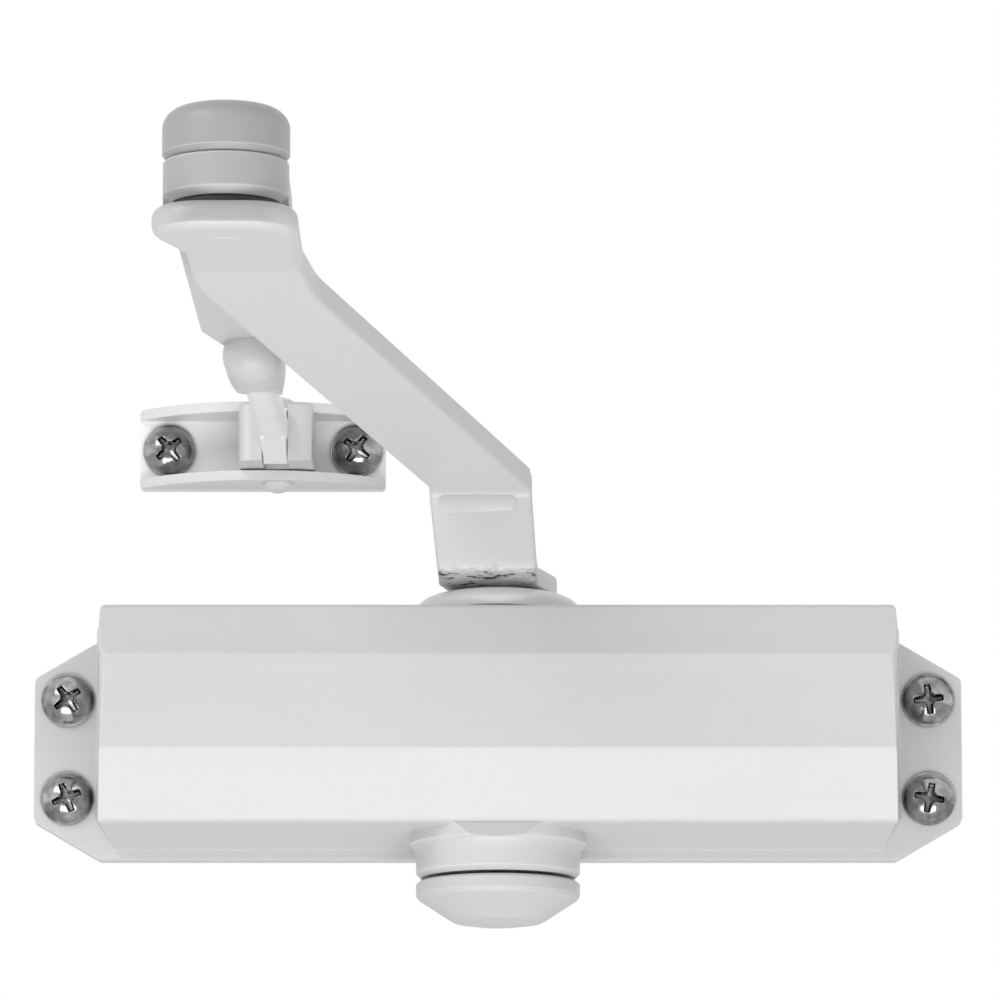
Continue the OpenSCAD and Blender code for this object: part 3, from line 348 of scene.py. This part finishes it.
# Linear greys of the enamel, which differs a little from piece to piece; the elbow cap's is much
# darker. The lighter grey on the bearing gland is painted light, where the arm shades its dome,
# and the darker grey on the arm's side bands is painted shade. Those with a fourth number are
# blended in: painted shade on the straps' sides and painted light on the shoe's base.
SILVER = (0.58, 0.58, 0.58)
ARM_SILVER = (0.595, 0.595, 0.595)
SHADED_BAND_SILVER = (0.545, 0.545, 0.545)
FOREARM_SILVER = (0.54, 0.54, 0.54)
SHADED_SIDES_SILVER = (0.395, 0.395, 0.395, 1.0)
CAP_SILVER = (0.35, 0.35, 0.35)
BRIGHT_SILVER = (0.69, 0.69, 0.69)
LIT_BASE_SILVER = (0.9, 0.9, 0.9, 1.0)
# Spans of depth, along Y, for the painted shade on the forearm's sides and the painted light on
# the shoe's base
STRAP_END = (-109.0 * MM, -106.5 * MM)
SHOE_FACE = (-3.4 * MM, -2.5 * MM)


def make_materials():
    """All materials by their key in NODE_MATERIALS."""
    along_x = (1.5, 60.0, 60.0)
    around_z = (60.0, 60.0, 6.0)
    return {
        "body": enamel("body_enamel", SILVER, 0.42, drawn=(0.02, 1.0, 1.0)),
        # The arm's enamel carries the painted shade at the foot of its neck.
        "arm": enamel("arm_enamel", ARM_SILVER, 0.42, flake=0.02, drawn=(1.0, 0.05, 1.0),
                      shade_at_root=True, sharp=False),
        # Painted shade: the arm's side bands are darker, darker still where they don't face
        # sideways.
        "arm_shaded_band": enamel("arm_shaded_band_enamel", SHADED_BAND_SILVER, 0.42, flake=0.02,
                           shade_on_sides=("X", SHADED_SIDES_SILVER, None), sharp=False),
        # Painted shade on the forearm's upright faces, except at its socket end.
        "forearm": enamel("forearm_enamel", FOREARM_SILVER, 0.42,
                          shade_on_sides=("Z", SHADED_SIDES_SILVER, STRAP_END)),
        "cap": enamel("cap_enamel", CAP_SILVER, 0.45, peel=0.5),
        "lower_cap": enamel("lower_cap_enamel", FOREARM_SILVER, 0.45, peel=0.5),
        # On the bearing gland this lighter grey is painted light, where the arm shades its dome.
        "bright": enamel("bright_enamel", BRIGHT_SILVER, 0.40),
        # Painted light on the shoe's base, which its flanges shade.
        "shoe": enamel("shoe_enamel", BRIGHT_SILVER, 0.40, behind=(SHOE_FACE, LIT_BASE_SILVER)),
        # The screws' recesses carry painted shade.
        "zinc": metal("bright_zinc", (0.36, 0.36, 0.365), 0.14, around_z, 0.05,
                      tarnish_and_recess_shade=0.6, patch_scale=260.0),
        "rod": metal("rod_zinc", (0.875, 0.875, 0.875), 0.42, along_x, tarnish_and_recess_shade=0.03,
                     metallic=0.35),
        "knuckle": metal("knuckle_zinc", (0.62, 0.62, 0.62), 0.4, tarnish_and_recess_shade=0.04, metallic=0.5),
        "steel": metal("machined_steel", (0.52, 0.52, 0.53), 0.28, around_z),
        "spring": metal("spring_steel", (0.24, 0.24, 0.25), 0.35),
        "bronze": metal("bearing_bronze", (0.62, 0.42, 0.2), 0.34, around_z),
        "brass": metal("valve_brass", (0.72, 0.53, 0.25), 0.26, along_x),
        "seal": rubber("seal_rubber", (0.02, 0.02, 0.021), 0.6),
        "washer": rubber("washer_plastic", (0.025, 0.025, 0.027), 0.5),
    }


NODE_MATERIALS = {
    "body_casting": "body", "bearing_gland": "bright", "bottom_cap": "lower_cap",
    "main_arm": "arm", "forearm_link": "forearm", "elbow_cap": "cap", "shoe_bracket": "shoe",
    "mounting_screws": "zinc", "shoe_screws": "zinc", "shoe_pin": "bright",
    "end_plug_left": "steel", "end_plug_right": "steel", "spindle": "steel",
    "piston": "steel", "check_ball": "steel", "cross_pin": "steel", "elbow_pin": "arm",
    "elbow_nut": "steel", "arm_screw": "steel", "arm_washer": "steel",
    "adjusting_rod": "rod", "swivel_knuckle": "knuckle",
    "outer_spring": "spring", "inner_spring": "spring",
    "top_bush": "bronze", "bottom_bush": "bronze", "elbow_bush": "bronze",
    "closing_valve": "brass", "latching_valve": "brass", "check_valve_seat": "brass",
    "end_plug_seals": "seal", "spindle_seals": "seal", "valve_seals": "seal",
    "elbow_washer": "washer",
}


def dress_nodes(materials):
    """Give each node of the frame its material."""
    for name, key in NODE_MATERIALS.items():
        slots = NODES[name].data.materials
        if not slots:
            slots.append(materials[key])
        for i in range(len(slots)):
            slots[i] = materials[key]


# Pieces built here


def finish_piece(name, mesh_builder, materials, body, node, sharp=math.radians(38)):
    """Object from a bmesh, smooth but for edges sharper than the angle, in a node's place."""
    mesh = bpy.data.meshes.new(name)
    bmesh.ops.recalc_face_normals(mesh_builder, faces=mesh_builder.faces)
    mesh_builder.to_mesh(mesh)
    mesh_builder.free()
    for face in mesh.polygons:
        face.use_smooth = True
    mesh.set_sharp_from_angle(angle=sharp)
    for material in materials:
        mesh.materials.append(material)
    piece = bpy.data.objects.new(name, mesh)
    SCENE.collection.objects.link(piece)
    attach(piece, body)
    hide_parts(node)
    return piece


def add_grid(mesh_builder, rows, second_material_bands=()):
    """Quads between closed rows of points with equal counts."""
    made = [[mesh_builder.verts.new(point) for point in row] for row in rows]
    count = len(rows[0])
    for band, (low, high) in enumerate(zip(made, made[1:])):
        for i in range(count):
            j = (i + 1) % count
            face = mesh_builder.faces.new((low[i], low[j], high[j], high[i]))
            face.material_index = int(band in second_material_bands)
    return made


def corner_arc(a, b, c, radius, steps):
    """Points that round the corner b between a and c."""
    a, b, c = Vector(a), Vector(b), Vector(c)
    u, v = (a - b).normalized(), (c - b).normalized()
    half = math.acos(u.dot(v)) / 2
    centre = b + (u + v).normalized() * radius / math.sin(half)
    first = b + u * radius / math.tan(half) - centre
    final = b + v * radius / math.tan(half) - centre
    start = math.atan2(first.y, first.x)
    sweep = (math.atan2(final.y, final.x) - start + 3 * math.pi) % (2 * math.pi) - math.pi
    turns = [start + sweep * i / steps for i in range(steps + 1)]
    return [centre + radius * Vector((math.cos(t), math.sin(t))) for t in turns]


def rounded(points, radii, steps=10):
    """Outline through the points, each corner rounded by its own radius."""
    count = len(points)
    outline = []
    for i, (point, radius) in enumerate(zip(points, radii)):
        if radius > 0:
            following = points[(i + 1) % count]
            outline += corner_arc(points[i - 1], point, following, radius, steps)
        else:
            outline.append(Vector(point))
    return outline


def between(x, keys, values):
    """Value at x on the line through the keys, held at the ends."""
    if x <= keys[0]:
        return values[0]
    for (a, b), (p, q) in zip(zip(keys, keys[1:]), zip(values, values[1:])):
        if x <= b:
            return p + (q - p) * (x - a) / (b - a) if b > a else q
    return values[-1]


# Main arm, in millimetres until it is scaled: a flat blank bent along its side profile

SPINDLE_DEPTH = 21.0
ARM_LENGTH = 170.4
ARM_REST = math.radians(15.8)
ARM_THICK = 5.0
ARM_WIDTH = 19.0
ARM_BOTTOM = 28.0
ROOT_THICK = 4.0
ROOT_HALF = 9.4
ROOT_PROUD = 0.06
NECK_DEPTH = 33.0
CREASE_Z = 45.2
NOSE_Z = 62.4
NOSE_RADIUS = 12.5
TIP_ROUND = 8.5
TIP_SWEEP = math.radians(80)
TIP_STEPS = 18
ELBOW_X = -ARM_LENGTH * math.sin(ARM_REST)
ELBOW_DEPTH = SPINDLE_DEPTH + ARM_LENGTH * math.cos(ARM_REST)


class ArmBlank:
    """Profile, edges and bending rule of the main arm's blank."""

    def __init__(self):
        nose_back = ELBOW_DEPTH - 25
        slope = math.atan((NOSE_Z - CREASE_Z) / (nose_back - NECK_DEPTH))
        crease_top = CREASE_Z + ARM_THICK / math.cos(slope) - ARM_THICK * math.tan(slope)
        self.tip = ELBOW_DEPTH + NOSE_RADIUS + 0.2
        foot = SPINDLE_DEPTH + 3
        back = NECK_DEPTH - ARM_THICK
        nose_top = NOSE_Z + ARM_THICK
        root_top = ARM_BOTTOM + ROOT_THICK
        round_start = self.tip - TIP_ROUND
        low = rounded([(foot, ARM_BOTTOM), (NECK_DEPTH, ARM_BOTTOM), (NECK_DEPTH, CREASE_Z),
                       (nose_back, NOSE_Z), (round_start, NOSE_Z), (self.tip, NOSE_Z)],
                      [0, 5, 1.5, 20, 0, 0])
        top = rounded([(foot, root_top), (back, root_top), (back, crease_top),
                       (nose_back - ARM_THICK * math.tan(slope / 2), nose_top),
                       (round_start, nose_top), (self.tip, nose_top)],
                      [0, 1.5, 6, 15, 0, 0])
        self.run = [0.0]
        for a, b in zip(low, low[1:]):
            self.run.append(self.run[-1] + (b - a).length)
        self.low = [[p.x for p in low], [p.y for p in low]]
        self.top = [[p.x for p in top], [p.y for p in top]]
        self.neck_left = -ARM_WIDTH / 2 - 3.5
        self.neck_right = self.neck_left + ARM_WIDTH + 0.4
        kink_left = ELBOW_X - ARM_WIDTH / 2 + 2.7
        kink_right = kink_left + ARM_WIDTH + 2.6
        left, right = ELBOW_X - NOSE_RADIUS, ELBOW_X + NOSE_RADIUS
        self.left = rounded([(back, self.neck_left), (NECK_DEPTH + 2, self.neck_left),
                             (ELBOW_DEPTH - 34, kink_left), (ELBOW_DEPTH - 13, kink_left - 0.7),
                             (ELBOW_DEPTH + 1, left), (self.tip - 0.9, left),
                             (self.tip + 0.2, ELBOW_X - 0.1)],
                            [0, 8, 30, 10, 6, TIP_ROUND, 0], 16)
        self.right = rounded([(back, self.neck_right), (NECK_DEPTH + 0.5, self.neck_right),
                              (ELBOW_DEPTH - 41, kink_right), (ELBOW_DEPTH - 27, right),
                              (self.tip - 0.9, right), (self.tip + 0.2, ELBOW_X + 0.1)],
                             [0, 12, 40, 10, TIP_ROUND, 0], 16)

    def edge(self, side, s):
        """Sideways place of an edge at a run s along the blank."""
        depth = between(s, self.run, self.low[0])
        up = (between(s, self.run, self.low[1]) - ARM_BOTTOM) / (CREASE_Z - ARM_BOTTOM)
        if up < 1:
            behind = max(0.0, NECK_DEPTH - ARM_THICK - depth) * math.tan(ARM_REST)
            if side < 0:
                return self.neck_left + 1.8 * (1 - up) + behind
            return self.neck_right + 1.2 * (1 - up) + behind
        chain = self.left if side < 0 else self.right
        return between(depth, [p.x for p in chain], [p.y for p in chain])

    def bend(self, x, s, height):
        """Place of a blank point at a height of the thickness."""
        k = height / ARM_THICK
        depth = between(s, self.run, self.low[0]) * (1 - k) + between(s, self.run, self.top[0]) * k
        z = between(s, self.run, self.low[1]) * (1 - k) + between(s, self.run, self.top[1]) * k
        return Vector((x, -depth, z))

    def stations(self):
        """Runs at which the blank is cut into sections, closest round the bends and the tip."""
        runs = []
        for a, b in zip(self.run[:-2], self.run[1:-1]):
            steps = max(1, math.ceil((b - a) / 2.5))
            runs += [a + (b - a) * i / steps for i in range(steps)]
        return runs + [self.run[-1] - TIP_ROUND * (1 - math.sin(TIP_SWEEP * i / TIP_STEPS))
                       for i in range(TIP_STEPS + 1)]


def arm_layers(steps=6):
    """Layers of a rounded edge as (fraction of thickness, rounding sign, inset)."""
    quarter = [math.pi / 2 * i / steps for i in range(steps + 1)]
    return ([(0.0, 1 - math.cos(t), 1 - math.sin(t)) for t in quarter]
            + [(1.0, math.cos(t) - 1, 1 - math.sin(t)) for t in reversed(quarter)])


def make_main_arm(materials):
    blank = ArmBlank()
    runs = blank.stations()
    tip = blank.run[-1]
    edges = {side: [blank.edge(side, s) for s in runs] for side in (-1, 1)}

    def inset_point(side, k, inset):
        if runs[k] < tip - 60:
            return edges[side][k] - side * inset, runs[k]
        before, after = max(0, k - 1), min(len(runs) - 1, k + 1)
        along = Vector((edges[side][after] - edges[side][before], runs[after] - runs[before]))
        along.normalize()
        return edges[side][k] - side * inset * along.y, runs[k] + side * inset * along.x

    def layer_points(side, layer, numbers):
        fraction, sign, inset = layer
        points = []
        for k in numbers:
            radius = between(runs[k], [0, tip - 42, tip - 24, tip], [0.9, 1.1, 2.1, 2.1])
            x, s = inset_point(side, k, radius * inset)
            points.append(blank.bend(x, s, ARM_THICK * fraction + radius * sign) * MM)
        return points

    builder = bmesh.new()
    count = len(runs)
    numbers = list(range(count))
    rows = [layer_points(-1, layer, numbers) + layer_points(1, layer, numbers[::-1])
            for layer in arm_layers()]
    # The side bands take the second material, whose darker grey is painted shade.
    made = add_grid(builder, rows, range(len(rows) // 2 - 3, len(rows) - 1))
    across = 6
    for row in (made[0], made[-1]):
        spans = [(row[k], row[2 * count - 1 - k]) for k in range(count)]
        lines = []
        for left, right in spans:
            inner = [builder.verts.new(left.co.lerp(right.co, i / across))
                     for i in range(1, across)]
            lines.append([left] + inner + [right])
        for low, high in zip(lines, lines[1:]):
            for i in range(across):
                builder.faces.new((low[i], low[i + 1], high[i + 1], high[i]))
    add_root_plate(builder)
    add_rib(builder, blank)
    return finish_piece("main_arm_forging", builder, materials, "arm", "main_arm")


def add_prism(builder, outline, place, edge_rounds):
    """Prism over an outline, its edges rounded by steps of (inset, height)."""
    middle = sum(outline, Vector((0.0, 0.0))) / len(outline)
    rows = []
    for inset, height in edge_rounds:
        row = []
        for point in outline:
            inward = (middle - point).normalized() * inset
            row.append(place(point + inward, height))
        rows.append(row)
    made = add_grid(builder, rows)
    builder.faces.new(made[-1])
    builder.faces.new(made[0])


def add_root_plate(builder):
    """Plate under the arm screw, in line with the arm.

    It stands a little proud of the strap's end, so that no two faces lie in one plane.
    """
    w = ROOT_HALF
    outline = rounded([(-w + 0.6, -8.5), (w - 0.1, -6.0), (w, w), (-w + 0.6, w)],
                      [1.5, 1.5, 1.5, 1.5], 5)

    def place(point, height):
        x = point.x * math.cos(ARM_REST) + point.y * math.sin(ARM_REST)
        y = point.y * math.cos(ARM_REST) - point.x * math.sin(ARM_REST)
        return Vector((x, y - SPINDLE_DEPTH, ARM_BOTTOM + height)) * MM

    top = ROOT_THICK + ROOT_PROUD
    add_prism(builder, outline, place,
              [(0.25, ROOT_PROUD), (0.0, 0.3), (0.0, top - 0.9), (0.25, top - 0.3), (0.9, top)])


def add_rib(builder, blank):
    """Pressed rib across the neck, under the crease."""
    width = ARM_WIDTH * 0.77
    outline = rounded([(0, 0), (width, 0.6), (width, 3.6), (0, 3.6)], [1.2] * 4, 6)
    left = blank.neck_left + 1.8

    def place(point, height):
        return Vector((left + point.x, -NECK_DEPTH + 0.4 - height, CREASE_Z - 4 + point.y)) * MM

    add_prism(builder, outline, place, [(0.0, 0.0), (0.0, 0.55), (0.12, 0.68), (0.35, 0.74)])


# Screws, in millimetres until they are placed

SCREW_RADIUS = 2.5
HEAD_RADIUS = 5.1
HEAD_HEIGHT = 3.4
HEAD_RIM = 0.7
DOME_RADIUS = HEAD_RADIUS - 0.3
HEAD_SEGMENTS = 96
RECESS_REACH = 2.75
RECESS_HALF = 0.62
RECESS_TAPER = 0.06
RECESS_WALL = 0.14
RECESS_FALL = 0.3
RECESS_PIT = 1.15
RECESS_FLOOR = HEAD_HEIGHT - 2.35
THREAD_PITCH = 1.9
THREAD_DEPTH = 0.55
SHANK_SEGMENTS = 28
POINT_LENGTH = 3.2
NECK_RELIEF = 0.3
SCREW_GRIP = 20.0
HOLE_PITCH_X = 165.0
HOLE_PITCH_Z = 19.0
FLANGE_THICK = 5.0
SHOE_THICK = 2.2
SHOE_PITCH = 36.2
SHOE_MIDDLE_X = -45.4
ROD_Z = 58.7


def head_height(r):
    """Height of the domed head at a radius."""
    crown = HEAD_HEIGHT - HEAD_RIM
    dome = (DOME_RADIUS ** 2 + crown ** 2) / (2 * crown)
    return HEAD_HEIGHT - dome + math.sqrt(max(0.0, dome * dome - r * r))


def recess_depth(x, y):
    """Depth of the cross recess: two tapered slots that fall to a pit in the middle."""
    r = math.hypot(x, y)

    def within(past_edge):
        """1 inside an edge, 0 outside, over the width of a wall."""
        return min(1.0, max(0.0, 0.5 - past_edge / (2 * RECESS_WALL)))

    share = within(r - RECESS_PIT)
    for along, across in ((abs(x), abs(y)), (abs(y), abs(x))):
        half = RECESS_HALF - RECESS_TAPER * along
        share = max(share, within(max(across - half, along - RECESS_REACH)))
    return share * max(0.0, head_height(r) - RECESS_FLOOR - RECESS_FALL * r)


def ring(to_world, segments, radius, height):
    """Closed row of points, whose radius and height may change with the angle."""
    points = []
    for i in range(segments):
        angle = 2 * math.pi * i / segments
        r = radius(angle) if callable(radius) else radius
        x, y = r * math.cos(angle), r * math.sin(angle)
        z = height(x, y) if callable(height) else height
        points.append(to_world @ (Vector((x, y, z)) * MM))
    return points


def add_head(builder, to_world, turn):
    """Pan head with its recess, as rings of points from the middle to the rim."""
    def dome(x, y):
        depth = recess_depth(x * math.cos(turn) + y * math.sin(turn),
                             y * math.cos(turn) - x * math.sin(turn))
        return max(HEAD_RIM, head_height(math.hypot(x, y)) - depth)

    radii = [RECESS_WALL * i for i in range(1, 23)] + [3.4, 3.75, 4.1, 4.4, 4.65, DOME_RADIUS]
    rings = [(r, dome) for r in radii]
    rings += [(4.95, HEAD_RIM - 0.012), (5.05, HEAD_RIM - 0.02), (HEAD_RADIUS, HEAD_RIM - 0.15),
              (HEAD_RADIUS, 0.1), (HEAD_RADIUS - 0.08, 0.0), (SCREW_RADIUS, 0.0)]
    made = add_grid(builder, [ring(to_world, HEAD_SEGMENTS, r, z) for r, z in rings])
    middle = builder.verts.new(to_world @ (Vector((0, 0, RECESS_FLOOR)) * MM))
    for low, high in zip(made[0], made[0][1:] + made[0][:1]):
        builder.faces.new((middle, low, high))


def thread_radius(z, angle, plate):
    """Radius of the threaded shank, z below the head's seat. It tapers to a point."""
    point = min(1.0, max(0.02, (plate + SCREW_GRIP - z) / POINT_LENGTH))
    if z < plate:
        return SCREW_RADIUS - NECK_RELIEF
    phase = (z / THREAD_PITCH - angle / (2 * math.pi)) % 1.0
    crest = max(0.0, 1 - abs(phase - 0.5) * 3.4)
    start = min(1.0, (z - plate) / THREAD_PITCH)
    return (SCREW_RADIUS - THREAD_DEPTH + THREAD_DEPTH * crest * start) * point


def add_shank(builder, to_world, plate):
    """Threaded shank, cut nine times to each turn of the thread."""
    reach = plate + SCREW_GRIP
    steps = math.ceil(reach / (THREAD_PITCH / 9))
    depths = [reach * k / steps for k in range(steps + 1)]
    made = add_grid(builder, [
        ring(to_world, SHANK_SEGMENTS, lambda angle: thread_radius(z, angle, plate), -z)
        for z in depths])
    builder.faces.new(made[-1])
    builder.faces.new(made[0])


def wall_screw_seats():
    """Seat, plate thickness and recess turn of the four screws in the ears."""
    turns = {(-1, 1): 0.62, (-1, -1): 0.38, (1, 1): 0.12, (1, -1): -0.2}
    return [((sx * HOLE_PITCH_X / 2, -FLANGE_THICK, sz * HOLE_PITCH_Z / 2), FLANGE_THICK, turn)
            for (sx, sz), turn in turns.items()]


def frame_screw_seats():
    """The same for the two screws in the shoe."""
    return [((SHOE_MIDDLE_X + side * SHOE_PITCH / 2, -SHOE_THICK, ROD_Z), SHOE_THICK, turn)
            for side, turn in ((-1, 0.7), (1, 0.95))]


def make_screws(name, node, body, seats, material):
    """All screws of a node, each turned its own way as a screwdriver leaves them."""
    builder = bmesh.new()
    for seat, plate, turn in seats:
        forward = Matrix.Rotation(math.pi / 2, 4, "X")
        to_world = Matrix.Translation(Vector(seat) * MM) @ forward
        add_head(builder, to_world, turn)
        add_shank(builder, to_world, plate)
    finish_piece(name, builder, [material], body, node, math.radians(50))


# Springs


def make_spring(node):
    """Coil in a spring's place: a copy of the spring's mesh, carried by the closer's body."""
    low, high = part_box(node)
    coil = bpy.data.objects.new(node + "_coil", NODES[node].data.copy())
    SCENE.collection.objects.link(coil)
    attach(coil, "closer_body")
    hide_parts(node)
    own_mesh(coil)


# Floor, world and lights

FLOOR_Z = -1.0
FLOOR_RADIUS = 12.0
FLOOR_COLOUR = (0.88, 0.88, 0.88, 1.0)
WHITE = (1.0, 1.0, 1.0, 1.0)
AMBIENT = 0.68
LOW_POWER = 9.2
LEFT_POWER = 4.0
LIGHT_AIM = Vector((0.0, -0.08, 0.0))


def make_floor():
    """Pale floor far below the wall-mounted closer."""
    mesh = bpy.data.meshes.new("floor")
    grid = bmesh.new()
    bmesh.ops.create_circle(grid, cap_ends=True, radius=FLOOR_RADIUS, segments=96)
    grid.to_mesh(mesh)
    grid.free()
    floor = bpy.data.objects.new("floor", mesh)
    floor.location.z = FLOOR_Z
    SCENE.collection.objects.link(floor)
    material, nodes, links, output = new_material("floor_pale")
    pale = nodes.new("ShaderNodeBsdfDiffuse")
    pale.inputs["Color"].default_value = FLOOR_COLOUR
    links.new(pale.outputs[0], output.inputs["Surface"])
    mesh.materials.append(material)


def make_world(ambient):
    """White behind the object for the camera, a soft even light for everything else."""
    world = bpy.data.worlds.new("studio")
    world.use_nodes = True
    SCENE.world = world
    nodes, links = world.node_tree.nodes, world.node_tree.links
    nodes.clear()
    output = nodes.new("ShaderNodeOutputWorld")
    path = nodes.new("ShaderNodeLightPath")
    mix = nodes.new("ShaderNodeMixShader")
    for socket, strength in ((mix.inputs[1], ambient), (mix.inputs[2], 1.0)):
        background = nodes.new("ShaderNodeBackground")
        background.inputs["Color"].default_value = WHITE
        background.inputs["Strength"].default_value = strength
        links.new(background.outputs[0], socket)
    sees = add_up(nodes, links, [path.outputs[kind] for kind in
                                 ("Is Camera Ray", "Is Glossy Ray", "Is Transmission Ray")])
    links.new(sees, mix.inputs[0])
    links.new(mix.outputs[0], output.inputs["Surface"])


def make_area(name, place, width, height, power):
    """Soft box at a place, aimed at the middle of the closer."""
    data = bpy.data.lights.new(name, "AREA")
    data.shape = "RECTANGLE"
    data.size = width
    data.size_y = height
    data.energy = power
    light = bpy.data.objects.new(name, data)
    light.location = place
    aim = LIGHT_AIM - Vector(place)
    light.rotation_euler = aim.to_track_quat("-Z", "Y").to_euler()
    SCENE.collection.objects.link(light)


SCENE.view_settings.view_transform = "Standard"
make_camera()
make_world(AMBIENT)
make_floor()
make_area("low_front", (0.0, -0.95, -0.8), 1.3, 0.5, LOW_POWER)
make_area("upper_left", (-0.75, -0.75, 0.75), 0.7, 0.5, LEFT_POWER)

materials = make_materials()
dress_nodes(materials)
make_main_arm([materials["arm"], materials["arm_shaded_band"]])
make_screws("wall_screws", "mounting_screws", "closer_body", wall_screw_seats(),
            materials["zinc"])
make_screws("frame_screws", "shoe_screws", "shoe", frame_screw_seats(), materials["zinc"])

for spring in ("outer_spring", "inner_spring"):
    make_spring(spring)
